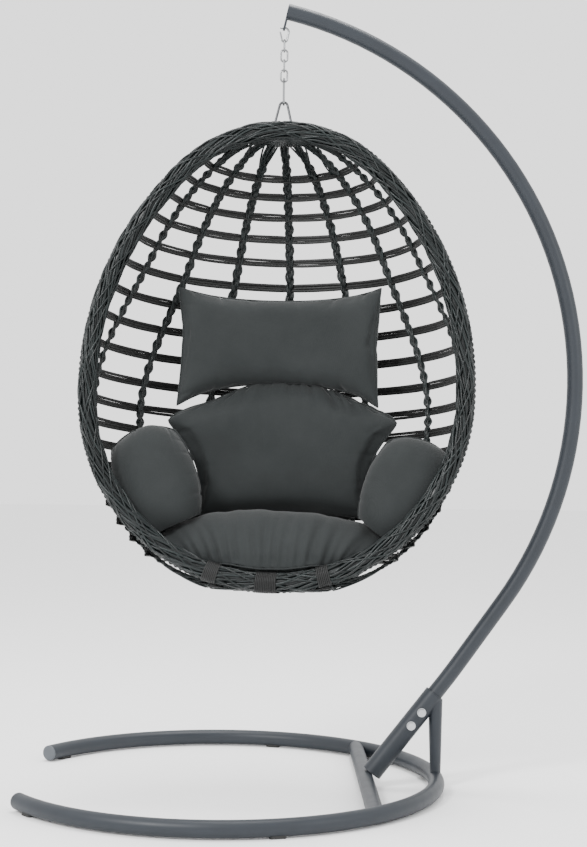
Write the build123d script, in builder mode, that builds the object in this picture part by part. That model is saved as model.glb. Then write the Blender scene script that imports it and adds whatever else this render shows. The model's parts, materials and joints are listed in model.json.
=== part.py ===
"""Hanging egg chair: a wicker egg basket with cushions, hung by a short chain from a C-shaped stand.

Millimetres, +Z up, floor at Z = 0, the basket's open side towards -Y, the pole on the +X side.
The origin is on the floor, under the middle of the chair's box.
"""
from build123d import *
import math
import os

os.makedirs("parts", exist_ok=True)

# ---- stand -------------------------------------------------------------------------------------
TUBE_R = 20.0           # base ring, crossbar and pole
TUBE_WALL = 1.5
PAD_LIFT = 2.5          # the base tube's clearance over the floor
BASE_Z = TUBE_R + PAD_LIFT
RING_X = -211.0         # centre of the base ring's arc
RING_R = 539.0
RING_END = 147.9        # each leg ends this many degrees from +X
PAD_ANGLES = (-142.0, -75.0, 0.0, 75.0, 142.0)
PAD_SIZE = (26.0, 36.0)        # along the tube, across it
PAD_HIGH = 9.0
PAD_CORNER_R = 5.0
CROSSBAR_X = 153.0
CAP_HEAD = 5.0                 # leg cap's thickness outside the tube
CAP_HEAD_ROUND = 3.5
CAP_PLUG = 18.0                # and its length inside

SOCKET_R = 25.0
SOCKET_BORE_R = TUBE_R + 0.4
SOCKET_TOP = (324.2, 233.5)    # X, Z of the socket's upper end on its axis
SOCKET_ANGLE = 52.0            # slope of its axis
SOCKET_LENGTH = 252.0
BRACE_X = 328.0
BRACE_FOOT = (13.0, 17.0)      # half sizes along X and Y: narrow on the ring, wider on the socket
BRACE_HEAD = (18.0, 20.0)
BRACE_TOP = 222.0
BOLT_DROPS = (56.0, 98.0)      # along the socket's axis, down from its mouth
BOLT_R = 5.0
BOLT_HEAD_R = 9.5
BOLT_HEAD_HIGH = 8.0
BOLT_TAIL = 16.0               # shank beyond the socket's far side and the near washer
BOLT_GAP = 0.2
WASHER_R = 11.0
WASHER_THICK = 2.0

POLE_CLEAR = 30.0              # straight length above the socket's mouth, before the first bend
POLE_BEND_R = 1500.0           # slight bend just above the socket
POLE_ANGLE = 54.57             # slope of the straight part above that bend
POLE_STRAIGHT = 186.7
POLE_ARC_R = 942.6             # the big arc, up and over the basket
POLE_ARC_TURN = 112.15
POLE_IN_SOCKET = 190.0

# ---- chain -------------------------------------------------------------------------------------
PLATE_THICK = 5.0              # flat plate across the pole's end, with a tab below it
TAB_DROP = 38.5                # from the pole's axis to the tab's hole
TAB_END = 10.0                 # from the hole to the tab's rounded end
TAB_HOLE_R = 6.5
WIRE_GAP = 0.5                 # clearance between wires that hang in each other
HOLE_GAP = 1.5                 # and of the top hook over the edge of its slanted hole
LINK_WIRE_R = 2.25
LINK_LENGTH = 34.5             # outer sizes
LINK_WIDTH = 20.5
FLARE_TURN = 28.0              # the hook's end turns out by this much
HOOK_WRAP = 110.0              # the hook's top curls round this far
GATE_THINNER = 0.5
GATE_GAP = 1.0                 # room for its foot to turn
TOP_HOOK = dict(length=40.0, top_r=10.5, bottom_r=6.5, wire_r=2.5)
LOW_HOOK = dict(length=68.0, top_r=12.0, bottom_r=8.5, wire_r=2.75)

# ---- basket, in its own frame: origin at the top of its loop, rim in the plane Y = HANG_BACK -----
TILT = 8.0                     # leans back
YAW = 5.8                      # its front turned a little towards -X
HANG_BACK = -41.4              # puts the basket's mass under the hook; the rim's plane is in front
RIM_R = 23.0
HOOP_R = 8.0
RIM_TOP_Z = -85.0              # the rim's outline is three tangent arcs on each side
RIM_RADII = (333.0, 757.0)     # top and side arcs; the bottom arc closes the outline
RIM_TURNS = (45.0, 49.0)
SHELL_Z = -723.0               # height of the shell's widest level
SHELL_W = 462.0
SHELL_D = 410.0
SHELL_UP = 640.0
SHELL_DOWN = 495.0
BAND_COUNT = 19
BAND_FIRST = 27.5              # degrees down from the crown, measured as an ellipse's angle
BAND_STEP = 6.5
BAND_HIGH = 19.0
BAND_THICK = 5.0
RIB_R = 8.0
RIB_TURNS = (-3, -2, -1, 0, 1, 2, 3)
RIB_ANGLES = (12.0, 22.0, 33.0, 45.0, 58.0, 71.0, 84.0, 97.0, 110.0, 123.0, 136.0, 150.0, 166.0)
RIB_SPREAD = (21.5, 26.5)      # degrees between ribs near the crown, and from the middle down
BAND_END_GAP = 6.0             # the bands stop this far behind the rim's plane
BINDING_GROW = 3.0
BINDING_GAP = 0.5
BINDINGS = ((-17.7, 34), (-1.0, 50), (16.3, 30))    # place round the low arc, width
CAP_ANGLES = (12.0, 166.0)     # levels of the crown and base plates
CAP_THICK = 10.0
LOOP_R = 3.0
LOOP_LEAN = 13.0               # each leg of the hanger loop from vertical
LOOP_TOP_R = 10.0

# ---- cushions: X, depth behind the rim's plane, and Z in the basket's frame -----------------------
SEAT = dict(centre=(0, 156, -1105), radii=(345, 158, 95))
ROOM_LEVELS = (-1190, -1170, -1140, -1100, -1050, -980, -900, -800)    # of the room in the shell
ROOM_CLEAR = 14.0              # inside the shell's middle surface, sideways and from below
ARM_RADII = (94, 108, 134)
ARM_DEPTH = 112.0
ARM_LEAN = 18.0
ARMS = dict(
    arm_cushion_left=((-300, ARM_DEPTH, -940), -ARM_LEAN),
    arm_cushion_right=((308, ARM_DEPTH, -953), ARM_LEAN),
)
CUSHION_GAP = 4.0
PAD_RISE = 43.0                # the seam between head pillow and back cushion arches up by this
BACK_PAD = dict(
    top_half=286, low_half=190, top_z=-742, low_z=-1000, rises=(PAD_RISE, 0),
    depth=345, radius=430, thick=112, round_r=36,
)
HEAD_PAD = dict(
    top_half=268, low_half=262, top_z=-438, low_z=-734, rises=(0, PAD_RISE),
    depth=338, radius=430, thick=100, round_r=36,
)


def direction(angle):
    """Unit vector in the XZ plane at this many degrees above +X."""
    return Vector(math.cos(math.radians(angle)), 0, math.sin(math.radians(angle)))


def save(builder, name, place=Location()):
    """Label a finished piece, put it in the chair's frame and write its STEP file."""
    builder.part.label = name
    piece = builder.part.moved(place)
    piece.label = name
    export_step(piece, f"parts/{name}.step")


# ---- the stand ---------------------------------------------------------------------------------

with BuildLine() as ring_line:
    CenterArc((RING_X, 0, BASE_Z), RING_R, -RING_END, 2 * RING_END)
ring_section = Plane(ring_line.line @ 0, z_dir=ring_line.line % 0)

with BuildPart() as base_ring:
    with BuildSketch(ring_section):
        Circle(TUBE_R)
        Circle(TUBE_R - TUBE_WALL, mode=Mode.SUBTRACT)
    sweep(path=ring_line.line)

with BuildPart() as ring_envelope:      # the ring with no bore, for cutting what is welded to it
    with BuildSketch(ring_section):
        Circle(TUBE_R)
    sweep(path=ring_line.line)
save(base_ring, "base_ring")


def leg_cap(end, name):
    """Plastic plug with a shallow domed head, in one open end of the base ring."""
    tangent = ring_line.line % end
    outward = tangent if end else tangent * -1
    with BuildPart() as cap:
        with BuildSketch(Plane(ring_line.line @ end, z_dir=outward)):
            Circle(TUBE_R)
        extrude(amount=CAP_HEAD)
        head = cap.faces().sort_by(Axis((ring_line.line @ end), outward))[-1]
        fillet(head.edges(), CAP_HEAD_ROUND)
        with BuildSketch(Plane(ring_line.line @ end, z_dir=outward * -1)):
            Circle(TUBE_R - TUBE_WALL - 0.5)
        extrude(amount=CAP_PLUG)
    save(cap, name)


leg_cap(0, "leg_cap_front")
leg_cap(1, "leg_cap_back")

with BuildPart() as floor_pads:         # saddles under the tube, flat on the floor
    for angle in PAD_ANGLES:
        with BuildSketch(Plane((RING_X, 0, 0))):
            with PolarLocations(RING_R, 1, start_angle=angle):
                RectangleRounded(*PAD_SIZE, PAD_CORNER_R)
        extrude(amount=PAD_HIGH)
    add(ring_envelope.part, mode=Mode.SUBTRACT)
save(floor_pads, "floor_pads")

crossbar_half = math.sqrt(RING_R ** 2 - (CROSSBAR_X - RING_X) ** 2) + TUBE_R
with BuildPart() as crossbar:           # mitred onto the ring at both ends
    with BuildSketch(Plane((CROSSBAR_X, 0, BASE_Z), x_dir=(1, 0, 0), z_dir=(0, 1, 0))):
        Circle(TUBE_R)
        Circle(TUBE_R - TUBE_WALL, mode=Mode.SUBTRACT)
    extrude(amount=crossbar_half - TUBE_R / 4, both=True)
    add(ring_envelope.part, mode=Mode.SUBTRACT)
crossbar_middle = crossbar.part.solids().sort_by(SortBy.VOLUME)[-1]
with BuildPart() as crossbar:
    add(crossbar_middle)
save(crossbar, "crossbar")

with BuildPart() as crossbar_envelope:
    with BuildSketch(Plane((CROSSBAR_X, 0, BASE_Z), x_dir=(1, 0, 0), z_dir=(0, 1, 0))):
        Circle(TUBE_R)
    extrude(amount=crossbar_half, both=True)

# the socket: a wider tube, its foot mitred onto the crossbar
socket_axis = direction(SOCKET_ANGLE)
socket_mouth = Vector(SOCKET_TOP[0], 0, SOCKET_TOP[1] + PAD_LIFT)
socket_plane = Plane(socket_mouth, x_dir=(0, 1, 0), z_dir=socket_axis * -1)
bolt_places = [socket_mouth - socket_axis * drop for drop in BOLT_DROPS]


def across(points, sideways):
    """Planes at these points that look along +Y, starting at this Y."""
    return [Plane((p.X, sideways, p.Z), x_dir=(1, 0, 0), z_dir=(0, 1, 0)) for p in points]


with BuildPart() as socket_tube:
    with BuildSketch(socket_plane):
        Circle(SOCKET_R)
        Circle(SOCKET_BORE_R, mode=Mode.SUBTRACT)
    extrude(amount=SOCKET_LENGTH)
    with BuildSketch(*across(bolt_places, -SOCKET_R)):
        Circle(BOLT_R + BOLT_GAP)
    extrude(amount=2 * SOCKET_R, mode=Mode.SUBTRACT)
    add(crossbar_envelope.part, mode=Mode.SUBTRACT)
    with BuildSketch(Plane.XY):
        with Locations((CROSSBAR_X, 0)):
            Rectangle(4 * SOCKET_R, 4 * SOCKET_R)
    extrude(amount=PAD_LIFT + 4, mode=Mode.SUBTRACT)
save(socket_tube, "socket_tube")

with BuildPart() as socket_envelope:
    with BuildSketch(socket_plane):
        Circle(SOCKET_R)
    extrude(amount=SOCKET_LENGTH)

# the brace: pinched narrow where it meets the ring's bow, wide under the socket
with BuildPart() as brace_tube:
    with BuildSketch(Plane.XY.offset(BASE_Z)):
        with Locations((BRACE_X, 0)):
            Ellipse(*BRACE_FOOT)
    with BuildSketch(Plane.XY.offset(BRACE_TOP)):
        with Locations((BRACE_X - 2, 0)):
            Ellipse(*BRACE_HEAD)
    loft()
    add(ring_envelope.part, mode=Mode.SUBTRACT)
    add(socket_envelope.part, mode=Mode.SUBTRACT)
brace_middle = brace_tube.part.solids().sort_by(SortBy.VOLUME)[-1]
with BuildPart() as brace_tube:
    add(brace_middle)
save(brace_tube, "brace_tube")

# the pole: straight in its socket, then a slight bend, a straight part and one big arc
pole_foot = socket_mouth - socket_axis * POLE_IN_SOCKET
bend_start = socket_mouth + socket_axis * POLE_CLEAR
with BuildLine(Plane((0, 0, 0), x_dir=(1, 0, 0), z_dir=(0, -1, 0))) as pole_line:
    in_socket = Line((pole_foot.X, pole_foot.Z), (bend_start.X, bend_start.Z))
    bend = JernArc(in_socket @ 1, in_socket % 1, POLE_BEND_R, POLE_ANGLE - SOCKET_ANGLE)
    straight = PolarLine(bend @ 1, POLE_STRAIGHT, direction=bend % 1)
    big_arc = JernArc(straight @ 1, straight % 1, POLE_ARC_R, POLE_ARC_TURN)
pole_path = pole_line.wires()[0]
pole_tip = pole_path @ 1
tip_axis = pole_path % 1

with BuildPart() as pole:
    with BuildSketch(Plane(pole_path @ 0, z_dir=pole_path % 0)):
        Circle(TUBE_R)
        Circle(TUBE_R - TUBE_WALL, mode=Mode.SUBTRACT)
    sweep(path=pole_path)
    with BuildSketch(*across(bolt_places, -SOCKET_R)):
        Circle(BOLT_R + BOLT_GAP)
    extrude(amount=2 * SOCKET_R, mode=Mode.SUBTRACT)
save(pole, "pole")

with BuildPart() as end_plate:
    plate_plane = Plane(pole_tip, x_dir=(0, 1, 0), z_dir=tip_axis)
    down = -1 if plate_plane.y_dir.Z > 0 else 1
    with BuildSketch(plate_plane):
        Circle(TUBE_R)
        with Locations((0, down * TAB_DROP / 2)):
            Rectangle(2 * TAB_END, TAB_DROP)
        with Locations((0, down * TAB_DROP)):
            Circle(TAB_END)
            Circle(TAB_HOLE_R, mode=Mode.SUBTRACT)
    extrude(amount=PLATE_THICK)
save(end_plate, "end_plate")
tab_hole = pole_tip + tip_axis * (PLATE_THICK / 2) + plate_plane.y_dir * (down * TAB_DROP)
hang_x = tab_hole.X

# the two bolts through socket and pole, with washers and nuts
near_side = -SOCKET_R - WASHER_THICK
with BuildPart() as socket_bolts:
    with BuildSketch(*across(bolt_places, near_side - BOLT_HEAD_HIGH)):
        RegularPolygon(BOLT_HEAD_R, 6)
    extrude(amount=BOLT_HEAD_HIGH)
    with BuildSketch(*across(bolt_places, near_side)):
        Circle(BOLT_R)
    extrude(amount=2 * SOCKET_R + BOLT_TAIL)
with BuildPart() as socket_washers:
    with BuildSketch(*across(bolt_places, near_side), *across(bolt_places, SOCKET_R)):
        Circle(WASHER_R)
        Circle(BOLT_R + BOLT_GAP / 2, mode=Mode.SUBTRACT)
    extrude(amount=WASHER_THICK)
with BuildPart() as socket_nuts:
    with BuildSketch(*across(bolt_places, SOCKET_R + WASHER_THICK)):
        RegularPolygon(BOLT_HEAD_R, 6)
        Circle(BOLT_R + BOLT_GAP / 4, mode=Mode.SUBTRACT)
    extrude(amount=BOLT_HEAD_HIGH)
save(socket_bolts, "socket_bolts")
save(socket_washers, "socket_washers")
save(socket_nuts, "socket_nuts")


# ---- chain and snap hooks ----------------------------------------------------------------------

def upright(height, sideways):
    """A vertical sketch plane on the hang line, facing the front, or the side if sideways."""
    if sideways:
        return Plane((hang_x, 0, height), x_dir=(0, 1, 0), z_dir=(1, 0, 0))
    return Plane((hang_x, 0, height), x_dir=(1, 0, 0), z_dir=(0, -1, 0))


def snap_hook(name, plane, length, top_r, bottom_r, wire_r):
    """Pear-shaped wire hook, its top centre line through the plane's origin, and its sprung gate."""
    span = length - 2 * wire_r
    lean = math.degrees(math.asin((top_r - bottom_r) / (span - top_r - bottom_r)))
    with BuildLine(plane) as body_line:
        low = CenterArc((0, bottom_r - span), bottom_r, 180 + lean, 180 - 2 * lean)
        side = PolarLine(
            low @ 1, (span - top_r - bottom_r) * math.cos(math.radians(lean)), direction=low % 1
        )
        top = JernArc(side @ 1, side % 1, top_r, HOOK_WRAP + lean)
        flare = JernArc(top @ 1, top % 1, 2 * wire_r, -FLARE_TURN)
        PolarLine(flare @ 1, 2 * wire_r, direction=flare % 1)
    path = body_line.wires()[0]
    with BuildPart() as body:
        with BuildSketch(Plane(path @ 0, z_dir=path % 0)):
            Circle(wire_r)
        sweep(path=path)
    save(body, name)
    pivot = low @ 0
    rise = (low % 0) * -1
    gate_r = wire_r - GATE_THINNER
    with BuildPart() as gate:
        with BuildSketch(Plane(pivot + rise * GATE_GAP, z_dir=rise)):
            Circle(gate_r)
        extrude(amount=(span - top_r - bottom_r) + 0.22 * top_r - GATE_GAP / 2)
        fillet(gate.faces().sort_by(Axis(pivot, rise))[-1].edges(), gate_r * 0.6)
    save(gate, name + "_gate")
    return span


hook_top_z = tab_hole.Z - TAB_HOLE_R + TOP_HOOK["wire_r"] + HOLE_GAP
below = hook_top_z - snap_hook("top_hook", upright(hook_top_z, False), **TOP_HOOK)
upper_r = TOP_HOOK["wire_r"]
for number in (1, 2, 3, 4):
    link_top_z = below + upper_r + LINK_WIRE_R + WIRE_GAP
    link_high = LINK_LENGTH - 2 * LINK_WIRE_R
    link_wide = LINK_WIDTH - 2 * LINK_WIRE_R
    link_plane = upright(link_top_z - link_high / 2, number % 2 == 1)
    with BuildLine(link_plane) as link_line:
        straight_high = link_high - link_wide
        Line((link_wide / 2, -straight_high / 2), (link_wide / 2, straight_high / 2))
        CenterArc((0, straight_high / 2), link_wide / 2, 0, 180)
        Line((-link_wide / 2, straight_high / 2), (-link_wide / 2, -straight_high / 2))
        CenterArc((0, -straight_high / 2), link_wide / 2, 180, 180)
    link_path = link_line.wires()[0]
    with BuildPart() as link:
        with BuildSketch(Plane(link_path @ 0, z_dir=link_path % 0)):
            Circle(LINK_WIRE_R)
        sweep(path=link_path)
    save(link, f"chain_link_{number}")
    below = link_top_z - link_high
    upper_r = LINK_WIRE_R

low_hook_z = below + LINK_WIRE_R + LOW_HOOK["wire_r"] + WIRE_GAP
below = low_hook_z - snap_hook("low_hook", upright(low_hook_z, True), **LOW_HOOK)
loop_top_z = below + LOW_HOOK["wire_r"] + LOOP_R + WIRE_GAP

# ---- the basket, made in its own frame and then hung, leaning back and turned --------------------
hung = Plane(
    origin=(hang_x, 0, loop_top_z),
    x_dir=(math.cos(math.radians(YAW)), -math.sin(math.radians(YAW)), 0),
    z_dir=(
        math.sin(math.radians(TILT)) * math.sin(math.radians(YAW)),
        math.sin(math.radians(TILT)) * math.cos(math.radians(YAW)),
        math.cos(math.radians(TILT)),
    ),
).location


def shell_width(height):
    """Half width of the shell at this height in the basket's frame."""
    up = height > SHELL_Z
    part = (height - SHELL_Z) / (SHELL_UP if up else SHELL_DOWN)
    power = 1.85 if up else 2.3
    return SHELL_W * max(0, 1 - abs(part) ** power) ** (1 / power)


def shell_depth(height):
    """Depth of the shell behind the rim's plane at this height."""
    up = height > SHELL_Z
    part = (height - SHELL_Z) / (SHELL_UP if up else SHELL_DOWN)
    power = 2.0 if up else 2.6
    return SHELL_D * max(0, 1 - abs(part) ** power) ** (1 / power)


def level(angle):
    """Height that is this many degrees round from the crown."""
    c = math.cos(math.radians(angle))
    return SHELL_Z + (SHELL_UP if c > 0 else SHELL_DOWN) * c


rim_plane = Plane((0, HANG_BACK, 0), x_dir=(1, 0, 0), z_dir=(0, -1, 0))
turn_one, turn_two = (math.radians(t) for t in RIM_TURNS)
across_top = RIM_RADII[0] * math.sin(turn_one)
across_side = RIM_RADII[1] * (math.sin(turn_one + turn_two) - math.sin(turn_one))
rim_low_r = (across_top + across_side) / math.sin(turn_one + turn_two)
with BuildLine(rim_plane) as rim_line:
    arc_1 = JernArc((0, RIM_TOP_Z), (-1, 0), RIM_RADII[0], RIM_TURNS[0])
    arc_2 = JernArc(arc_1 @ 1, arc_1 % 1, RIM_RADII[1], RIM_TURNS[1])
    arc_3 = JernArc(arc_2 @ 1, arc_2 % 1, rim_low_r, 360 - 2 * sum(RIM_TURNS))
    arc_4 = JernArc(arc_3 @ 1, arc_3 % 1, RIM_RADII[1], RIM_TURNS[1])
    arc_5 = JernArc(arc_4 @ 1, arc_4 % 1, RIM_RADII[0], RIM_TURNS[0])
rim_path = rim_line.wires()[0]
rim_box = rim_path.bounding_box()
rim_section = Plane(rim_path @ 0, z_dir=rim_path % 0)

with BuildPart() as rim_hoop:           # the steel hoop inside the wicker rim
    with BuildSketch(rim_section):
        Circle(HOOP_R)
        Circle(HOOP_R - TUBE_WALL, mode=Mode.SUBTRACT)
    sweep(path=rim_path)
with BuildPart() as rim_wrap:
    with BuildSketch(rim_section):
        Circle(RIM_R)
        Circle(HOOP_R, mode=Mode.SUBTRACT)
    sweep(path=rim_path)
with BuildPart() as rim_envelope:       # the rim with no hoop, for cutting what meets it
    with BuildSketch(rim_section):
        Circle(RIM_R)
    sweep(path=rim_path)
with BuildPart() as bound_envelope:     # and with room for the bindings round it
    with BuildSketch(rim_section):
        Circle(RIM_R + BINDING_GROW + BINDING_GAP)
    sweep(path=rim_path)
save(rim_hoop, "rim_hoop", hung)
save(rim_wrap, "rim_wrap", hung)


def half_shell(height, grow):
    """Half-ellipse sketch outline of the shell at this height, grown by this much."""
    with Locations((0, HANG_BACK)):
        Ellipse(shell_width(height) + grow, shell_depth(height) + grow)


def keep_behind(clear):
    """Cut away the half of a sketch that is in front of the rim's plane plus this clearance."""
    with Locations((0, HANG_BACK + clear - SHELL_D)):
        Rectangle(3 * SHELL_W, 2 * SHELL_D, mode=Mode.SUBTRACT)


# crown and base plates, where the ribs meet behind the rim's top and bottom
CAPS = (
    ("crown_plate", CAP_ANGLES[0], rim_envelope),
    ("base_plate", CAP_ANGLES[1], bound_envelope),
)
for name, angle, envelope in CAPS:
    with BuildPart() as plate:
        with BuildSketch(Plane.XY.offset(level(angle) - CAP_THICK / 2)):
            half_shell(level(angle), 0)
            keep_behind(0)
        extrude(amount=CAP_THICK)
        add(envelope.part, mode=Mode.SUBTRACT)
    biggest = plate.part.solids().sort_by(SortBy.VOLUME)[-1]
    with BuildPart() as plate:
        add(biggest)
    save(plate, name, hung)

# hanger loop: a bent rod welded to the crown plate
loop_foot_z = level(CAP_ANGLES[0]) + CAP_THICK / 2
loop_apex = LOOP_TOP_R * (1 / math.sin(math.radians(LOOP_LEAN)) - 1)
loop_half = (loop_apex - loop_foot_z) * math.tan(math.radians(LOOP_LEAN))
with BuildLine(Plane.XZ) as loop_line:
    FilletPolyline(
        (-loop_half, loop_foot_z), (0, loop_apex), (loop_half, loop_foot_z), radius=LOOP_TOP_R
    )
loop_path = loop_line.wires()[0]
with BuildPart() as hanger_loop:
    with BuildSketch(Plane(loop_path @ 0, z_dir=loop_path % 0)):
        Circle(LOOP_R)
    sweep(path=loop_path)
    with BuildSketch(Plane.XY.offset(loop_foot_z)):
        Rectangle(4 * loop_half, 10 * LOOP_R)
    extrude(amount=-4 * LOOP_R, mode=Mode.SUBTRACT)
save(hanger_loop, "hanger_loop", hung)

# horizontal bands, woven round the shell from one side of the rim to the other
band_levels = [level(BAND_FIRST + BAND_STEP * k) for k in range(BAND_COUNT)]
for number, height in enumerate(band_levels, 1):
    with BuildPart() as band:
        with BuildSketch(Plane.XY.offset(height - BAND_HIGH / 2)):
            half_shell(height, BAND_THICK / 2)
            with Locations((0, HANG_BACK)):
                Ellipse(
                    shell_width(height) - BAND_THICK / 2,
                    shell_depth(height) - BAND_THICK / 2,
                    mode=Mode.SUBTRACT,
                )
            keep_behind(BAND_END_GAP)
        extrude(amount=BAND_HIGH)
        add(rim_envelope.part, mode=Mode.SUBTRACT)
    biggest = band.part.solids().sort_by(SortBy.VOLUME)[-1]
    with BuildPart() as band:
        add(biggest)
    save(band, f"band_{number:02d}", hung)


# ribs, fanned out from crown to base
def rib_spread(angle):
    """Degrees between neighbouring ribs, wider low down than near the crown."""
    part = min(1, max(0, (angle - 55) / 40))
    narrow, wide = RIB_SPREAD
    return narrow + (wide - narrow) * part * part * (3 - 2 * part)


def rib_point(turn, angle):
    """Point of the rib this many places from the middle, at this angle down from the crown."""
    height = level(angle)
    way = math.radians(turn * rib_spread(angle))
    return Vector(
        shell_width(height) * math.sin(way),
        HANG_BACK + shell_depth(height) * math.cos(way),
        height,
    )


def rounded_path(points):
    """Straight runs joined by tangent arcs as large as the runs allow."""
    radii = []
    for before, here, after in zip(points, points[1:], points[2:]):
        turn = math.radians((here - before).get_angle(after - here))
        shorter = min((here - before).length, (after - here).length)
        radii.append(0.45 * shorter / math.tan(turn / 2))
    with BuildLine() as line:
        FilletPolyline(*points, radius=radii)
    return line.wires()[0]


for turn in RIB_TURNS:
    rib_path = rounded_path([rib_point(turn, angle) for angle in RIB_ANGLES])
    with BuildPart() as rib:
        with BuildSketch(Plane(rib_path @ 0, z_dir=rib_path % 0)):
            Circle(RIB_R)
        sweep(path=rib_path)
    save(rib, f"rib_{turn + 4}", hung)

# bindings wrapped round the rim's lowest stretch
low_centre_z = rim_box.min.Z + rim_low_r
with BuildPart() as rim_bindings:
    for place, width in BINDINGS:
        half = math.degrees(width / 2 / rim_low_r)
        with BuildLine(rim_plane) as binding_line:
            CenterArc((0, low_centre_z), rim_low_r, 270 + place - half, 2 * half)
        binding_path = binding_line.wires()[0]
        with BuildSketch(Plane(binding_path @ 0, z_dir=binding_path % 0)):
            Circle(RIM_R + BINDING_GROW)
            Circle(RIM_R + 0.02, mode=Mode.SUBTRACT)
        sweep(path=binding_path)
save(rim_bindings, "rim_bindings", hung)


# ---- cushions ----------------------------------------------------------------------------------

def ellipsoid(centre, radii, lean=0.0, grow=0.0):
    """Cushion shape with these half sizes, leaning about Y, its centre at (X, depth, Z)."""
    x, depth, z = centre
    sized = scale(Sphere(1), by=tuple(r + grow for r in radii))
    return Location((x, HANG_BACK + depth, z), (0, lean, 0)) * sized


def edge_line(left, right, rise):
    """Straight edge, or an arch if its middle rises."""
    if not rise:
        return Line(left, right)
    return ThreePointArc(left, ((left[0] + right[0]) / 2, left[1] + rise), right)


def curved_pad(top_half, low_half, top_z, low_z, rises, depth, radius, thick, round_r):
    """Pad bent to a back of this radius, with this half width and rise at its top and bottom."""
    centre_y = HANG_BACK + depth - radius
    high = top_z + max(rises) - low_z
    with BuildPart() as pad:
        with BuildSketch(Plane.XY.offset(low_z)):
            with Locations((0, centre_y)):
                Circle(radius)
                Circle(radius - thick, mode=Mode.SUBTRACT)
        extrude(amount=high)
        with BuildSketch(Plane((0, centre_y, 0), x_dir=(1, 0, 0), z_dir=(0, -1, 0))):
            with BuildLine():
                edge_line((-low_half, low_z), (low_half, low_z), rises[1])
                Line((low_half, low_z), (top_half, top_z))
                edge_line((-top_half, top_z), (top_half, top_z), rises[0])
                Line((-top_half, top_z), (-low_half, low_z))
            make_face()
        extrude(amount=-2 * radius, mode=Mode.INTERSECT)
        fillet(pad.edges(), round_r)
    return pad


seat_shape = ellipsoid(**SEAT)
seat_room = ellipsoid(**SEAT, grow=CUSHION_GAP)
arm_shapes = {name: ellipsoid(at, ARM_RADII, lean=lean) for name, (at, lean) in ARMS.items()}
arm_rooms = [
    ellipsoid(at, ARM_RADII, lean=lean, grow=CUSHION_GAP) for at, lean in ARMS.values()
]

with BuildPart() as shell_inside:       # the room that the shell leaves for the lower cushions
    for height in ROOM_LEVELS:
        with BuildSketch(Plane.XY.offset(height)):
            half_shell(height - ROOM_CLEAR, -ROOM_CLEAR)
            keep_behind(0)
    loft()

with BuildPart() as seat_cushion:
    add(seat_shape)
    add(shell_inside.part, mode=Mode.INTERSECT)
    add(bound_envelope.part, mode=Mode.SUBTRACT)
save(seat_cushion, "seat_cushion", hung)

for name, shape in arm_shapes.items():
    with BuildPart() as arm:
        add(shape)
        add(shell_inside.part, mode=Mode.INTERSECT)
        add(seat_room, mode=Mode.SUBTRACT)
    save(arm, name, hung)

back_pad = curved_pad(**BACK_PAD)
with BuildPart() as back_cushion:
    add(back_pad.part)
    add(seat_room, mode=Mode.SUBTRACT)
    for room in arm_rooms:
        add(room, mode=Mode.SUBTRACT)
save(back_cushion, "back_cushion", hung)

head_pillow = curved_pad(**HEAD_PAD)
save(head_pillow, "head_pillow", hung)
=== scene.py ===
"""Hanging egg chair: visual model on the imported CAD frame. Metres, in the CAD's own frame."""
import bpy
import json
import math
import numpy as np
from mathutils import Matrix, Vector


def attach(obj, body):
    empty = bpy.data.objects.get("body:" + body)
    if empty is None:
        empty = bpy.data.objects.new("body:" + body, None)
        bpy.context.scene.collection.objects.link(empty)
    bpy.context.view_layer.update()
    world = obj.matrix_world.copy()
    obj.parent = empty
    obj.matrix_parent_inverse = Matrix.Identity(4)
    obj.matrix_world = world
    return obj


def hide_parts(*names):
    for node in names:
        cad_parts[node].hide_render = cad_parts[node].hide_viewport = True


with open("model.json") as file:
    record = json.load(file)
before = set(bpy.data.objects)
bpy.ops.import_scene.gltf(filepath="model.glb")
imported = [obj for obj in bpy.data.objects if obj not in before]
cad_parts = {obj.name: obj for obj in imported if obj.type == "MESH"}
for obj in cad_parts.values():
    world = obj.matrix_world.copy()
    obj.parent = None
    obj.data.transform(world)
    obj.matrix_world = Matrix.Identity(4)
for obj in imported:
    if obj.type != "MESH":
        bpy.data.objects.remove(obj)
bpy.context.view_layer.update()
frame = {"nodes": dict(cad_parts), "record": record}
MM = 0.001
rng = np.random.default_rng(7)

# ---- the basket's frame and shape, as in the CAD source ------------------------------------------
HANG = (-0.071684, 0.0, 1.704629)
TILT, YAW = math.radians(8.0), math.radians(5.8)
HANG_BACK = -41.4 * MM
AXES = np.array([
    (math.cos(YAW), -math.sin(YAW), 0.0),
    (math.cos(TILT) * math.sin(YAW), math.cos(TILT) * math.cos(YAW), -math.sin(TILT)),
    (math.sin(TILT) * math.sin(YAW), math.sin(TILT) * math.cos(YAW), math.cos(TILT)),
])
SHELL_Z, SHELL_W, SHELL_D, SHELL_UP, SHELL_DOWN = (v * MM for v in (-723, 462, 410, 640, 495))
BAND_COUNT, BAND_FIRST, BAND_STEP = 19, 27.5, 6.5
RIM_TOP_Z = -85 * MM
RIM_TURNS = (45.0, 49.0, 172.0, 49.0, 45.0)
RIM_RADII = (333 * MM, 757 * MM, 456.45 * MM, 757 * MM, 333 * MM)


def hung(points):
    """Points in the basket's frame, moved to the chair's frame."""
    return np.asarray(points, float) @ AXES + np.array(HANG)


def shell_half(z, most, power_up, power_down):
    """An egg's half size at a height: longer above its widest level than below it."""
    up = z > SHELL_Z
    part = abs(z - SHELL_Z) / (SHELL_UP if up else SHELL_DOWN)
    power = power_up if up else power_down
    return most * max(0.0, 1 - part ** power) ** (1 / power)


def shell_width(z):
    """Half the shell's width at this height."""
    return shell_half(z, SHELL_W, 1.85, 2.3)


def shell_depth(z):
    """The shell's depth behind the rim's plane at this height."""
    return shell_half(z, SHELL_D, 2.0, 2.6)


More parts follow.
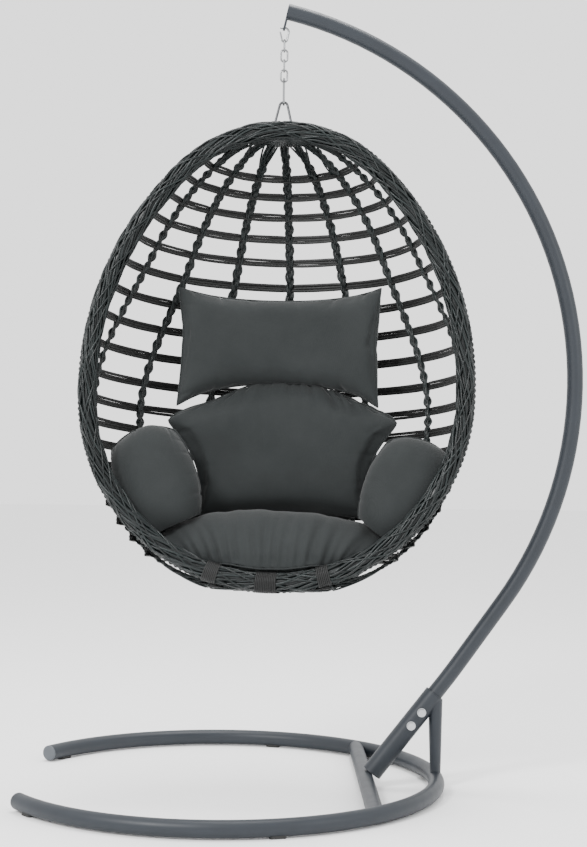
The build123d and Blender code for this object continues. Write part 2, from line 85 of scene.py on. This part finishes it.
def level(angle):
    """Height of a level, by its angle in degrees from the crown."""
    c = math.cos(math.radians(angle))
    return SHELL_Z + (SHELL_UP if c > 0 else SHELL_DOWN) * c


def rib_spread(angle):
    """Degrees between neighbouring ribs at this level."""
    part = min(1.0, max(0.0, (angle - 55) / 40))
    return 21.5 + 5.0 * part * part * (3 - 2 * part)


def rim_samples(count):
    """Centre line of the rim in its plane, from its top round the left side: points and outward normals."""
    lengths = [r * math.radians(t) for r, t in zip(RIM_RADII, RIM_TURNS)]
    stations = np.arange(count) * sum(lengths) / count
    points, outward = [], []
    for s in stations:
        place, heading = np.array([0.0, RIM_TOP_Z]), math.pi
        for radius, length in zip(RIM_RADII, lengths):
            run = min(s, length)
            centre = place + radius * np.array([-math.sin(heading), math.cos(heading)])
            heading += run / radius
            place = centre + radius * np.array([math.sin(heading), -math.cos(heading)])
            s -= run
            if s <= 0:
                break
        points.append((place[0], HANG_BACK, place[1]))
        outward.append((math.sin(heading), 0.0, -math.cos(heading)))
    return np.array(points), np.array(outward)


# ---- mesh helpers --------------------------------------------------------------------------------

def unit(v):
    return v / np.maximum(np.linalg.norm(v, axis=-1, keepdims=True), 1e-12)


def squarish(wave, square):
    """A circle's coordinate, pushed out to a rounded square's where square is below 1."""
    return (np.sign(wave) * np.abs(wave) ** square)[None, :, None]


def swept(line, wide, thick, up, sides, closed, square):
    """Points of a tube along a line."""
    along = unit(np.roll(line, -1, 0) - np.roll(line, 1, 0) if closed else np.gradient(line, axis=0))
    lift = np.broadcast_to(np.asarray(up, float), line.shape)
    lift = unit(lift - (lift * along).sum(1, keepdims=True) * along)
    side = np.cross(along, lift)
    round_it = 2 * math.pi * np.arange(sides) / sides
    c = squarish(np.cos(round_it), square)
    s = squarish(np.sin(round_it), square)
    ring = line[:, None] + wide * c * side[:, None] + thick * s * lift[:, None]
    return ring.reshape(-1, 3)


def tube_faces(base, count, sides, closed):
    """Faces of a tube whose points start at base, with flat ends where it isn't closed."""
    i = np.arange(count if closed else count - 1)[:, None]
    k = np.arange(sides)[None, :]
    j = (i + 1) % count
    k2 = (k + 1) % sides
    corners = np.stack([i * sides + k, i * sides + k2, j * sides + k2, j * sides + k], -1)
    faces = (base + corners).reshape(-1, 4).tolist()
    if not closed:
        faces.append([base + q for q in range(sides)][::-1])
        faces.append([base + (count - 1) * sides + q for q in range(sides)])
    return faces


class Bundle:
    """Many swept strands in one mesh."""

    def __init__(self):
        self.verts, self.faces, self.tones, self.count = [], [], [], 0

    def add(self, points, wide, thick=None, up=(0, 0, 1), sides=8, closed=False, square=1.0, tone=None):
        """One strand along the points. wide and thick are half sizes, thick along up."""
        line = np.asarray(points, float)
        count = len(line)
        thick = wide if thick is None else thick
        self.verts.append(swept(line, wide, thick, up, sides, closed, square))
        self.faces += tube_faces(self.count, count, sides, closed)
        self.tones.append(np.full(count * sides, rng.random() if tone is None else tone))
        self.count += count * sides

    def make(self, name, material, body="basket", in_basket=True):
        verts = np.concatenate(self.verts)
        if in_basket:
            verts = hung(verts)
        return solid(name, verts, self.faces, material, body, np.concatenate(self.tones))


def solid(name, verts, faces, material, body, tones=None):
    mesh = bpy.data.meshes.new(name)
    mesh.from_pydata([tuple(v) for v in verts], [], faces)
    mesh.update()
    mesh.shade_smooth()
    if tones is not None:
        mesh.attributes.new("tone", "FLOAT", "POINT").data.foreach_set("value", tones)
    piece = bpy.data.objects.new(name, mesh)
    bpy.context.scene.collection.objects.link(piece)
    mesh.materials.append(material)
    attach(piece, body)
    return piece


# ---- materials -----------------------------------------------------------------------------------

def node(tree, kind, **sockets):
    made = tree.nodes.new(kind)
    for key, value in sockets.items():
        made.inputs[key.replace("_", " ")].default_value = value
    return made


def shader(name, **fixed):
    material = bpy.data.materials.new(name)
    material.use_nodes = True
    tree = material.node_tree
    bsdf = tree.nodes["Principled BSDF"]
    for key, value in fixed.items():
        bsdf.inputs[key.replace("_", " ")].default_value = value
    return material, tree, bsdf


def noise_of(tree, scale, detail=2.0, rough=0.5):
    place = tree.nodes.new("ShaderNodeTexCoord")
    made = node(tree, "ShaderNodeTexNoise", Scale=scale, Detail=detail, Roughness=rough)
    tree.links.new(place.outputs["Object"], made.inputs["Vector"])
    return made.outputs["Fac"]


def ramp(tree, value, stops):
    made = tree.nodes.new("ShaderNodeValToRGB")
    points = made.color_ramp.elements
    while len(points) < len(stops):
        points.new(0.5)
    for point, (place, colour) in zip(points, stops):
        point.position = place
        point.color = (*colour, 1.0)
    tree.links.new(value, made.inputs["Fac"])
    return made.outputs["Color"]


def bump(tree, bsdf, height, strength, distance, under=None):
    made = node(tree, "ShaderNodeBump", Strength=strength, Distance=distance)
    tree.links.new(height, made.inputs["Height"])
    if under:
        tree.links.new(under, made.inputs["Normal"])
    tree.links.new(made.outputs["Normal"], bsdf.inputs["Normal"])
    return made.outputs["Normal"]


def math_of(tree, operation, *values):
    made = tree.nodes.new("ShaderNodeMath")
    made.operation = operation
    for socket, value in zip(made.inputs, values):
        if isinstance(value, (int, float)):
            socket.default_value = value
        else:
            tree.links.new(value, socket)
    return made.outputs["Value"]


def wicker_material(name, dark, light, gloss):
    """Extruded resin strand: each strand its own tone, fine grain, satin gloss."""
    material, tree, bsdf = shader(name, Specular_IOR_Level=0.27)
    tone = tree.nodes.new("ShaderNodeAttribute")
    tone.attribute_name = "tone"
    mottle = noise_of(tree, 55.0, 3.0)
    mixed = math_of(tree, "ADD", math_of(tree, "MULTIPLY", tone.outputs["Fac"], 0.6),
                    math_of(tree, "MULTIPLY", mottle, 0.4))
    tree.links.new(ramp(tree, mixed, [(0.15, dark), (0.85, light)]), bsdf.inputs["Base Color"])
    rough = math_of(tree, "MULTIPLY_ADD", noise_of(tree, 160.0, 2.0), 0.25, gloss)
    tree.links.new(rough, bsdf.inputs["Roughness"])
    bump(tree, bsdf, noise_of(tree, 900.0, 2.0), 0.35, 0.0004)
    return material


def metal_material(name, colour, rough, grain, bump_size, metallic=1.0, scale=1400.0):
    """Metal, paint or plastic: a colour that wanders a little, and a fine grain."""
    material, tree, bsdf = shader(name, Metallic=metallic, Specular_IOR_Level=0.35)
    lighter = tuple(min(1.0, c * 1.18) for c in colour)
    tree.links.new(ramp(tree, noise_of(tree, 22.0, 4.0), [(0.3, colour), (0.75, lighter)]),
                   bsdf.inputs["Base Color"])
    wander = math_of(tree, "MULTIPLY_ADD", noise_of(tree, 40.0, 3.0), grain, rough)
    tree.links.new(wander, bsdf.inputs["Roughness"])
    bump(tree, bsdf, noise_of(tree, scale, 2.0), 0.25, bump_size)
    return material


def fabric_material(name, dark, light):
    """Plain woven polyester: crossed yarns about a millimetre apart, soft mottling and a little sheen."""
    material, tree, bsdf = shader(name, Roughness=0.88, Specular_IOR_Level=0.15,
                                  Sheen_Weight=0.12, Sheen_Roughness=0.4)
    place = tree.nodes.new("ShaderNodeTexCoord")
    threads = []
    for stretch, scale in (((1.0, 1.0, 0.0), 260.0), ((0.0, 0.0, 1.0), 300.0)):
        mapping = tree.nodes.new("ShaderNodeMapping")
        mapping.inputs["Scale"].default_value = stretch
        tree.links.new(place.outputs["Object"], mapping.inputs["Vector"])
        wave = node(tree, "ShaderNodeTexWave", Scale=scale, Distortion=1.5, Detail=1.0)
        wave.bands_direction = "DIAGONAL"
        tree.links.new(mapping.outputs["Vector"], wave.inputs["Vector"])
        threads.append(wave.outputs["Fac"])
    weave = math_of(tree, "MULTIPLY", threads[0], threads[1])
    mottle = noise_of(tree, 9.0, 5.0, 0.6)
    fine = noise_of(tree, 420.0, 2.0)
    blend = math_of(tree, "ADD", math_of(tree, "MULTIPLY", mottle, 0.6),
                    math_of(tree, "ADD", math_of(tree, "MULTIPLY", fine, 0.25),
                            math_of(tree, "MULTIPLY", weave, 0.15)))
    tree.links.new(ramp(tree, blend, [(0.25, dark), (0.75, light)]), bsdf.inputs["Base Color"])
    soft = bump(tree, bsdf, noise_of(tree, 26.0, 3.0), 0.25, 0.004)
    bump(tree, bsdf, weave, 0.3, 0.0005, soft)
    return material


WICKER = wicker_material("wicker_strand", (0.002, 0.0032, 0.0034), (0.012, 0.0165, 0.0165), 0.2)
WICKER_FLAT = wicker_material("wicker_flat", (0.004, 0.0042, 0.0042), (0.011, 0.0116, 0.0114), 0.36)
POWDER = metal_material("powder_coat", (0.0135, 0.0170, 0.0220), 0.40, 0.12, 0.0002, metallic=0.0)
ZINC = metal_material("zinc_plate", (0.24, 0.245, 0.25), 0.22, 0.2, 0.0001)
STEEL = metal_material("bolt_steel", (0.42, 0.43, 0.44), 0.22, 0.2, 0.0001)
LOOP = metal_material("loop_steel", (0.07, 0.072, 0.075), 0.28, 0.2, 0.0001)
CAPS = metal_material("cap_plastic", (0.07, 0.078, 0.088), 0.42, 0.15, 0.0002, metallic=0.0, scale=700.0)
RUBBER = metal_material("pad_rubber", (0.018, 0.018, 0.018), 0.6, 0.2, 0.0003, metallic=0.0, scale=500.0)
CLOTH = fabric_material("cushion_cloth", (0.0165, 0.0188, 0.0190), (0.026, 0.0288, 0.0292))

by_slot = {"powder_coat": POWDER, "end_caps": CAPS, "pads": RUBBER, "fasteners": STEEL, "zinc": ZINC,
           "basket_steel": LOOP, "wicker": WICKER_FLAT, "cushion": CLOTH}
for entry in frame["record"]["subparts"]:
    part = frame["nodes"][entry["node"]]
    part.data.materials.clear()
    part.data.materials.append(by_slot[entry["material_slot"]])

# ---- rim: a bundle of round strands in a long twist ------------------------------------------------
RIM_SAMPLES = 420
INNER_STRANDS, OUTER_STRANDS = 22, 8
centre, outward = rim_samples(RIM_SAMPLES)
front = np.array((0.0, -1.0, 0.0))
turn = 2 * math.pi * np.arange(RIM_SAMPLES) / RIM_SAMPLES


def round_rim(angle, radius):
    """Points at this angle and distance round the rim's centre line."""
    return centre + radius[:, None] * (
        np.cos(angle)[:, None] * outward + np.sin(angle)[:, None] * front
    )


rim = Bundle()
rim.add(centre, 17.5 * MM, up=front, sides=12, closed=True, tone=0.0)
for k in range(INNER_STRANDS):
    wobble = rng.random(4) * 2 * math.pi
    angle = 2 * math.pi * k / INNER_STRANDS + 5 * turn + 0.16 * np.sin(9 * turn + wobble[0])
    angle = angle + 0.08 * np.sin(31 * turn + wobble[1])
    radius = (19.4 + 1.3 * np.sin(13 * turn + wobble[2]) + 0.7 * np.sin(47 * turn + wobble[3])) * MM
    rim.add(round_rim(angle, radius), 2.7 * MM, up=front, sides=6, closed=True)
for k in range(OUTER_STRANDS):
    wobble = rng.random(3) * 2 * math.pi
    angle = 2 * math.pi * k / OUTER_STRANDS - 7 * turn + 0.3 * np.sin(7 * turn + wobble[0])
    radius = (20.8 + 1.3 * np.sin(23 * turn + wobble[1])) * MM
    rim.add(round_rim(angle, radius), 2.3 * MM, up=front, sides=6, closed=True)
rim_piece = rim.make("rim_strands", WICKER)
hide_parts("rim_wrap")

# braided edge round the outside of the rim
EDGE_COUNT = 1100
EDGE_WAVES = 78
EDGE_LEAN = -0.35
edge_centre, edge_out = rim_samples(EDGE_COUNT)
edge_turn = 2 * math.pi * np.arange(EDGE_COUNT) / EDGE_COUNT
lean_out = math.cos(EDGE_LEAN) * edge_out + math.sin(EDGE_LEAN) * front
lean_across = -math.sin(EDGE_LEAN) * edge_out + math.cos(EDGE_LEAN) * front
edge = Bundle()
for k in range(3):
    phase = EDGE_WAVES * edge_turn + 2 * math.pi * k / 3
    sideways = 5.5 * MM * np.sin(phase)
    lift = (20.5 + 2.6 * np.sin(2 * phase)) * MM
    path = edge_centre + lift[:, None] * lean_out + sideways[:, None] * lean_across
    edge.add(path, 2.4 * MM, up=front, sides=6, closed=True)
edge.make("rim_edge_braid", WICKER)

# ---- bindings: strand wound tightly round the rim's lowest stretch ---------------------------------
low_centre = np.array((0.0, HANG_BACK, centre[:, 2].min() + RIM_RADII[2]))
COIL_PITCH = 4.2
bindings = Bundle()
for place, width in ((-17.7, 34.0), (-1.0, 50.0), (16.3, 30.0)):
    half = width / 2 * MM / RIM_RADII[2]
    turns = round(width / COIL_PITCH)
    steps = turns * 26
    s = np.linspace(0, 1, steps)
    along = math.radians(270 + place) + (2 * s - 1) * half
    out = np.stack([np.cos(along), 0 * along, np.sin(along)], 1)
    wind = 2 * math.pi * turns * s
    middle = low_centre + RIM_RADII[2] * out
    ring = np.cos(wind)[:, None] * out + np.sin(wind)[:, None] * front
    bindings.add(middle + 24.2 * MM * ring, 2.1 * MM, 1.4 * MM, up=ring, sides=8, square=0.8)
bindings_piece = bindings.make("rim_binding_coils", WICKER_FLAT)
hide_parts("rim_bindings")

# ---- bands: three flat strands side by side --------------------------------------------------------
RIB_TURNS = (-3, -2, -1, 0, 1, 2, 3)


def make_band(number):
    """One band, bulging a little and closing up where it passes over a rib."""
    angle = BAND_FIRST + BAND_STEP * (number - 1)
    height = level(angle)
    wide, deep = shell_width(height), shell_depth(height)
    end = math.acos(min(1.0, 7 * MM / deep))
    t = np.linspace(-end, end, 150)
    near = np.zeros_like(t)
    for k in RIB_TURNS:
        near = np.maximum(near, np.exp(-((t - math.radians(k * rib_spread(angle))) * deep / 0.014) ** 2))
    out = unit(np.stack([np.sin(t) / wide, np.cos(t) / deep, 0 * t], 1))
    band = Bundle()
    for strand in (-1, 0, 1):
        wander = 0.5 * MM * np.sin(t * 9 + rng.random() * 6)
        lift = strand * 7.3 * MM * (1 - 0.16 * near) + wander
        path = np.stack([wide * np.sin(t), HANG_BACK + deep * np.cos(t), height + lift], 1)
        path = path + out * (2.2 * MM * near + 0.5 * MM * (strand == 0))[:, None]
        band.add(path, 3.85 * MM, 2.0 * MM, up=out, sides=8, square=0.62)
    return band.make(f"band_{number:02d}_strands", WICKER_FLAT)


for number in range(1, BAND_COUNT + 1):
    piece = make_band(number)
    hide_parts(f"band_{number:02d}")

# ---- ribs: three-strand braids, fuller between the bands -------------------------------------------


def make_rib(k):
    """One rib, its braid fullest halfway between two bands."""
    angles = np.linspace(11.0, 167.0, 620)
    path, out = [], []
    for a in angles:
        z = level(a)
        way = math.radians(k * rib_spread(a))
        path.append((shell_width(z) * math.sin(way), HANG_BACK + shell_depth(z) * math.cos(way), z))
        out.append((math.sin(way) / SHELL_W, math.cos(way) / SHELL_D, (z - SHELL_Z) / SHELL_UP ** 2))
    path, out = np.array(path), unit(np.array(out))
    across = unit(np.cross(unit(np.gradient(path, axis=0)), out))
    phase = (angles - BAND_FIRST) / BAND_STEP
    full = np.sin(math.pi * phase) ** 2
    rib = Bundle()
    rib.add(path, 4.4 * MM, up=out, sides=6, tone=0.0)
    for strand in range(3):
        braid = 2 * math.pi * (phase * 0.75 + strand / 3)
        sideways = (4.6 + 3.4 * full) * np.sin(braid) * MM
        lift = (2.6 + 1.2 * full) * np.sin(2 * braid) * MM
        for half in (-1, 1):
            line = path + (sideways + half * 2.4 * MM)[:, None] * across + lift[:, None] * out
            rib.add(line, 2.9 * MM, 2.2 * MM, up=out, sides=8, square=0.85)
    return rib.make(f"rib_{k + 4}_braid", WICKER)


for k in RIB_TURNS:
    piece = make_rib(k)
    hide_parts(f"rib_{k + 4}")

# ---- crown and base: strands fanned out over the plates where the ribs meet --------------------------
FAN_TURN = 0.55


def fan_strand(t, rib_way, layer, cap_angle, sign, reach):
    """One strand: flat over the plate, then down the shell while it draws in to its nearest rib."""
    plate_wide, plate_deep = shell_width(level(cap_angle)), shell_depth(level(cap_angle))
    path, out = [], []
    for f in np.linspace(0.05, 1.0, 26):
        if f < FAN_TURN:
            g = f / FAN_TURN
            place = (g * plate_wide * math.sin(t), g * plate_deep * math.cos(t),
                     level(cap_angle) + layer * 7.2 * MM)
            way = (0.0, 0.0, layer)
        else:
            g = (f - FAN_TURN) / 0.45
            a = cap_angle + (reach - cap_angle) * g
            z = level(a)
            pull = layer * 6.5 * MM * (1 - 0.55 * g)
            turned = t + (rib_way * rib_spread(a) / rib_spread(cap_angle) - t) * min(1, 1.3 * g)
            place = ((shell_width(z) + pull) * math.sin(turned),
                     (shell_depth(z) + pull) * math.cos(turned), z + sign * pull * (1 - g))
            way = (math.sin(turned) * layer, math.cos(turned) * layer, 0.6 * layer)
        path.append((place[0], HANG_BACK + place[1], place[2]))
        out.append(way)
    return np.array(path), np.array(out, float)


for name, cap_angle, sign, reach in (("crown_fan", 12.0, 1, 27.5), ("base_fan", 166.0, -1, 151.0)):
    fan = Bundle()
    for t in np.radians(np.linspace(-88, 88, 29)):
        ways = np.radians([k * rib_spread(cap_angle) for k in RIB_TURNS])
        rib_way = ways[np.argmin(abs(ways - t))] + rng.normal(0, 0.03)
        for layer in (1, -1):
            path, out = fan_strand(t, rib_way, layer, cap_angle, sign, reach)
            fan.add(path + rng.normal(0, 0.5 * MM, 3), 2.7 * MM, 1.8 * MM, up=out, sides=6)
    fan.make(name, WICKER)

# ---- cushions --------------------------------------------------------------------------------------
PUFF_FRAMES = 20


def clear_of_shell(points, clear, lift):
    """Keeps points inside the shell: pushed in towards its middle, or lifted off its bottom."""
    p = points.copy()
    for _ in range(90):
        z = p[:, 2] - clear
        wide = np.array([shell_width(v) for v in z]) - clear
        deep = np.array([shell_depth(v) for v in z]) - clear
        y = np.maximum(p[:, 1] - HANG_BACK, 0)
        out = np.sqrt((p[:, 0] / np.maximum(wide, 1 * MM)) ** 2 + (y / np.maximum(deep, 1 * MM)) ** 2)
        over = out > 1
        if not over.any():
            break
        if lift:
            p[over, 2] += 2 * MM
        else:
            p[over, 0] /= out[over]
            p[over, 1] = HANG_BACK + (p[over, 1] - HANG_BACK) / out[over]
    return p


def clear_of_rim(points, clear):
    """Keeps points this far from the rim's centre line."""
    p = points.copy()
    for start in range(0, len(p), 2000):
        block = p[start:start + 2000]
        away = block[:, None] - centre[None]
        nearest = np.argmin((away ** 2).sum(-1), 1)
        gap = away[np.arange(len(block)), nearest]
        length = np.linalg.norm(gap, axis=1, keepdims=True)
        block += gap / np.maximum(length, 1e-9) * np.maximum(0, clear - length)
    return p


def clear_of_pad(points, middle, radii, lean=0.0, gap=3 * MM):
    """Keeps points outside an ellipsoid, the space that a neighbouring cushion holds."""
    c, s = math.cos(math.radians(lean)), math.sin(math.radians(lean))
    turned = np.array([(c, 0, -s), (0, 1, 0), (s, 0, c)])
    at = np.array(middle) + np.array((0, HANG_BACK, 0))
    flat = (points - at) @ turned.T / (np.array(radii) + gap)
    length = np.maximum(np.linalg.norm(flat, axis=1, keepdims=True), 1e-6)
    flat = np.where(length < 1, flat / length, flat)
    return at + (flat * (np.array(radii) + gap)) @ turned


def local(points):
    """Points in the chair's frame, moved back to the basket's frame."""
    return (np.asarray(points) - np.array(HANG)) @ AXES.T


def panel_steps(count):
    """Places from -1 to 1, closer together near the ends."""
    return np.sin(np.linspace(-0.5, 0.5, count) * math.pi * 0.86) / math.sin(0.43 * math.pi)


def two_panels(size, outline, place, swell, creases):
    """Points of a front and a back panel that share their outline, and how far each is drawn in."""
    columns, rows = size
    u, v = panel_steps(columns), panel_steps(rows)
    verts, index, drawn = [], {}, []
    for side in (1, -1):
        for j in range(rows):
            for i in range(columns):
                edge = i in (0, columns - 1) or j in (0, rows - 1)
                if edge and side == -1:
                    index[side, i, j] = index[1, i, j]
                    continue
                p, q = outline(u[i], v[j])
                n = 0.0 if edge else side * swell(u[i], v[j])
                index[side, i, j] = len(verts)
                verts.append(place(p, q, n))
                drawn.append(0.0 if edge else creases(u[i], v[j]))
    return np.array(verts), index, np.array(drawn)


def panel_faces(size, index):
    columns, rows = size
    faces = []
    for side in (1, -1):
        for j in range(rows - 1):
            for i in range(columns - 1):
                quad = [index[side, i, j], index[side, i + 1, j], index[side, i + 1, j + 1],
                        index[side, i, j + 1]]
                faces.append(quad if side == 1 else quad[::-1])
    return faces


def seam_round(size, index):
    """The shared outline's points, in order."""
    columns, rows = size
    border = [(i, 0) for i in range(columns)] + [(columns - 1, j) for j in range(1, rows)]
    border += [(i, rows - 1) for i in range(columns - 2, -1, -1)] + [(0, j) for j in range(rows - 2, 0, -1)]
    return [index[1, i, j] for i, j in border]


def make_room(points, beside, shell_gap, rim_gap, lift):
    """Keeps a cushion's points clear of its neighbours, the shell and the rim."""
    for space in beside:
        points = clear_of_pad(points, *space)
    return clear_of_rim(clear_of_shell(points, shell_gap, lift), rim_gap)


def puff(piece):
    """The piece's points after a short cloth simulation with air pressure inside."""
    cloth = piece.modifiers.new("puff", "CLOTH")
    settings = cloth.settings
    settings.quality = 5
    settings.use_pressure = True
    settings.uniform_pressure_force = 3.0
    settings.shrink_min = -0.02
    settings.effector_weights.gravity = 0.0
    settings.tension_stiffness = 30
    settings.compression_stiffness = 30
    settings.bending_stiffness = 0.6
    cloth.point_cache.frame_start = 1
    cloth.point_cache.frame_end = PUFF_FRAMES
    for number in range(1, PUFF_FRAMES + 1):
        bpy.context.scene.frame_set(number)
    graph = bpy.context.evaluated_depsgraph_get()
    now = np.array([w.co for w in piece.evaluated_get(graph).data.vertices])
    piece.modifiers.clear()
    bpy.context.scene.frame_set(1)
    return now


def set_points(mesh, points):
    mesh.vertices.foreach_set("co", points.ravel())
    mesh.update()


def sewn_pad(name, size, outline, place, swell, cap, creases, replaced, lift=False, beside=()):
    """Two panels sewn along their outline, puffed up by a cloth simulation and creased at the seams.

    outline(u, v) gives a panel's flat place, place(p, q, n) its place in the basket's frame, and
    swell(u, v) its half thickness. creases(u, v) is how far a point is drawn in, and cap is about
    how far the simulation may move a point.
    """
    verts, index, drawn = two_panels(size, outline, place, swell, creases)
    verts = make_room(verts, beside, 12 * MM, 27 * MM, lift)
    piece = solid(name, hung(verts), panel_faces(size, index), CLOTH, "basket")
    mesh = piece.data
    start = np.array([w.co for w in mesh.vertices])
    now = start
    now = puff(piece)
    move = now - start
    length = np.maximum(np.linalg.norm(move, axis=1, keepdims=True), 1e-9)
    now = start + move * cap * np.tanh(length / cap) / length
    set_points(mesh, now)
    normals = np.array([w.normal for w in mesh.vertices])
    now = local(now - normals * drawn[:, None])
    now = hung(make_room(now, beside, 11 * MM, 26 * MM, lift))
    set_points(mesh, now)
    soften = piece.modifiers.new("round", "SUBSURF")
    soften.levels = soften.render_levels = 1
    piping = Bundle()
    ring = now[seam_round(size, index)]
    piping.add(ring, 2.0 * MM, up=unit(ring - ring.mean(0)), sides=8, closed=True)
    piping.make(name + "_piping", CLOTH, in_basket=False)
    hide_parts(replaced)
    return piece


def puckers(edges, wave=0.0):
    """Creases that run in from a seam. Each edge is (axis, end, count, depth, reach)."""
    lines = []
    for axis, end, count, depth, reach in edges:
        places = np.linspace(-0.86, 0.86, count) + rng.normal(0, 0.35 / count, count)
        for at in places:
            lines.append((axis, end, at, rng.normal(0, 0.06), rng.uniform(0.016, 0.034),
                          depth * rng.uniform(0.45, 1.2), reach * rng.uniform(0.5, 1.2)))
    phase = rng.random(2) * 6

    def drawn(u, v):
        total = wave * (math.sin(3.1 * u + 1.7 * v + phase[0]) + math.sin(2.3 * v - 4.2 * u + phase[1]))
        for axis, end, at, slant, width, depth, reach in lines:
            a, b = (u, v) if axis == "v" else (v, u)
            off = 1 - end * b
            total += depth * math.exp(-((a - at - slant * off) / (width * (1 + off))) ** 2 - off / reach)
        return total
    return drawn


def bent(radius, depth, mid_z, thick, shift=0.0):
    """A panel's place on a back of this radius: p round the back, q up, n towards the sitter."""
    def place(p, q, n):
        r = radius - thick / 2 - n
        a = p / (radius - thick / 2)
        return (shift + r * math.sin(a), HANG_BACK + depth - radius + r * math.cos(a), mid_z + q)
    return place


def puffed(thick, power):
    """Half thickness of a cushion that is this thick in the middle."""
    def swell(u, v):
        return thick / 2 * (1 - abs(u) ** power) ** 0.55 * (1 - abs(v) ** power) ** 0.55
    return swell


SEAT_SPACE = ((0.0, 0.156, -1.105), (0.343, 0.160, 0.097))
ARM_SPACES = (((-0.300, 0.112, -0.940), (0.094, 0.100, 0.134), -18.0),
              ((0.308, 0.112, -0.953), (0.094, 0.100, 0.134), 18.0))


def head_outline(u, v):
    """Rectangle with pointed corners, its top sagging and its bottom arched over the back cushion."""
    p = u * 0.276 * (1 - 0.015 * (1 - v * v))
    sag = -0.008 if v > 0 else 0.060
    return p, v * 0.152 + sag * (1 - u * u) * abs(v)


sewn_pad(
    "head_pillow_cover", (84, 50), head_outline, bent(0.430, 0.336, -0.588, 0.100, -0.012),
    puffed(0.084, 4.0), 0.010,
    puckers([("v", 1, 6, 0.007, 0.16), ("v", -1, 9, 0.007, 0.14), ("u", 1, 3, 0.004, 0.1),
             ("u", -1, 3, 0.004, 0.1)], 0.0016),
    "head_pillow")


def back_outline(u, v):
    """Rounded lobes near the top, narrowing towards the seat, the top seam arched."""
    half = 0.222 + 0.096 * (min(1.0, (v + 1) / 1.7)) ** 2.3 - 0.085 * (max(0.0, v - 0.6) / 0.4) ** 2.5
    return u * half, v * 0.140 - 0.009 + 0.086 * (1 - u * u) * ((v + 1) / 2) ** 2


sewn_pad(
    "back_cushion_cover", (88, 56), back_outline, bent(0.430, 0.343, -0.872, 0.112, 0.004),
    puffed(0.100, 3.0), 0.012,
    puckers([("v", 1, 13, 0.012, 0.3), ("u", 1, 5, 0.006, 0.12), ("u", -1, 5, 0.006, 0.12)], 0.002),
    "back_cushion", beside=(SEAT_SPACE, *ARM_SPACES))


def disc(half_wide, half_high, square):
    """Rounded outline: a square panel drawn in to a squarish ellipse."""
    def outline(u, v):
        return (u * math.sqrt(1 - v * v * square / 2) * half_wide,
                v * math.sqrt(1 - u * u * square / 2) * half_high)
    return outline


def standing(middle, lean):
    """A panel that faces the sitter, leaning about the depth axis."""
    c, s = math.cos(lean), math.sin(lean)

    def place(p, q, n):
        return (middle[0] + c * p + s * q, HANG_BACK + middle[1] - n, middle[2] - s * p + c * q)
    return place


for name, middle, lean in (("left", (-0.300, 0.112, -0.950), -18), ("right", (0.316, 0.112, -0.970), 18)):
    sewn_pad(
        f"arm_cushion_{name}_cover", (50, 60), disc(0.101, 0.138, 0.74),
        standing(middle, math.radians(lean)), puffed(0.180, 2.7), 0.010,
        puckers([("v", 1, 4, 0.004, 0.2), ("u", 1, 5, 0.003, 0.15), ("u", -1, 5, 0.003, 0.15)], 0.002),
        f"arm_cushion_{name}", beside=(SEAT_SPACE,))


def lying(middle, above, below):
    """A panel that lies flat, its seam below the middle of its thickness."""
    def place(p, q, n):
        return (middle[0] + p, HANG_BACK + middle[1] + q, middle[2] + n * (above if n > 0 else below))
    return place


sewn_pad(
    "seat_cushion_cover", (104, 60), disc(0.343, 0.158, 0.95), lying((0.0, 0.156, -1.167), 1.67, 0.40),
    puffed(0.188, 2.2), 0.006,
    puckers([("v", -1, 21, 0.013, 0.6), ("u", 1, 4, 0.006, 0.15), ("u", -1, 4, 0.006, 0.15)], 0.0025),
    "seat_cushion", lift=True)

# ---- floor, light and camera -----------------------------------------------------------------------
floor_mesh = bpy.data.meshes.new("floor")
floor_mesh.from_pydata([(-14, -10, 0), (14, -10, 0), (14, 14, 0), (-14, 14, 0)], [], [(0, 1, 2, 3)])
floor = bpy.data.objects.new("floor", floor_mesh)
bpy.context.scene.collection.objects.link(floor)
floor_material, floor_tree, floor_bsdf = shader("studio_floor", Roughness=0.9)
floor_bsdf.inputs["Base Color"].default_value = (0.92, 0.92, 0.92, 1.0)
floor_mesh.materials.append(floor_material)

world = bpy.data.worlds.new("studio")
bpy.context.scene.world = world
world.use_nodes = True
world.node_tree.nodes["Background"].inputs["Color"].default_value = (1.0, 1.0, 1.0, 1.0)
world.node_tree.nodes["Background"].inputs["Strength"].default_value = 1.9


def area_light(name, place, target, size, power):
    data = bpy.data.lights.new(name, "AREA")
    data.shape = "DISK"
    data.size = size
    data.energy = power
    lamp = bpy.data.objects.new(name, data)
    bpy.context.scene.collection.objects.link(lamp)
    lamp.location = place
    lamp.rotation_euler = (Vector(target) - Vector(place)).to_track_quat("-Z", "Y").to_euler()


area_light("key", (-2.6, -3.4, 3.6), (0, 0, 1.0), 1.2, 230)
area_light("fill", (3.4, -2.6, 2.2), (0, 0, 1.0), 1.6, 40)
area_light("top", (0.2, 0.6, 4.2), (0, 0, 1.0), 1.6, 120)

camera_data = bpy.data.cameras.new("camera")
camera_data.lens = 71.66
camera_data.sensor_width = 36.0
camera = bpy.data.objects.new("camera", camera_data)
bpy.context.scene.collection.objects.link(camera)
camera.matrix_world = (
    Matrix.Translation((-0.1213, -4.2002, 0.905))
    @ Matrix.Rotation(math.radians(-1.15), 4, "Z")
    @ Matrix.Rotation(math.radians(90), 4, "X")
    @ Matrix.Rotation(math.radians(0.74), 4, "Z")
)
bpy.context.scene.camera = camera
